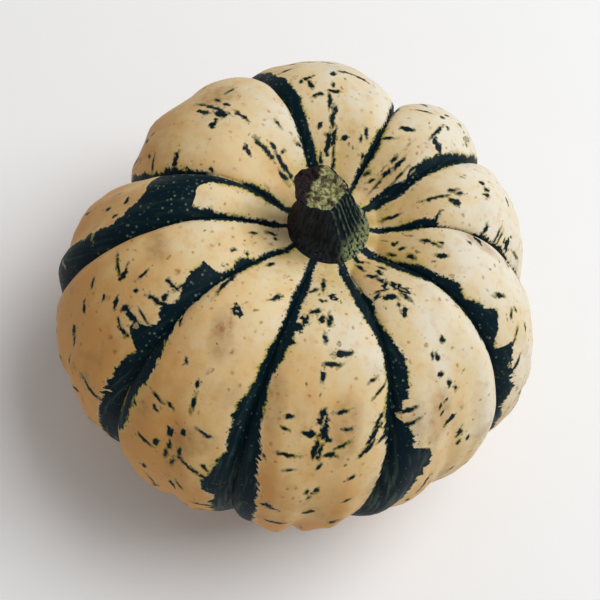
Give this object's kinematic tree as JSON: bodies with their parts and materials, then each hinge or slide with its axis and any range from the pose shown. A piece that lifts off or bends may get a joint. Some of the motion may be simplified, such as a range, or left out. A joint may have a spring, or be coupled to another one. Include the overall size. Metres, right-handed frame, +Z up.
{
  "type": "sweet dumpling squash",
  "caption": "Small ribbed, flattened winter squash with a cream rind, dark green furrow stripes and flecks, and a dry stub of stem in the hollow on top.",
  "frame": {"origin": "on the ground, under the middle of the fruit's box", "axes": "+Z up from the blossom end to the stem, -Y towards the fuller side, which the stem stands farther from"},
  "size_m": [0.1126, 0.1144, 0.0822],
  "materials": {
    "rind": "smooth, waxy, half gloss, cream with near-black green stripes and flecks",
    "stem": "dry, matt, ridged, mottled dark green and yellow-green"
  },
  "bodies": {
    "root": {"squash_fruit": "rind", "stem_stub": "stem"}
  },
  "joints": []
}
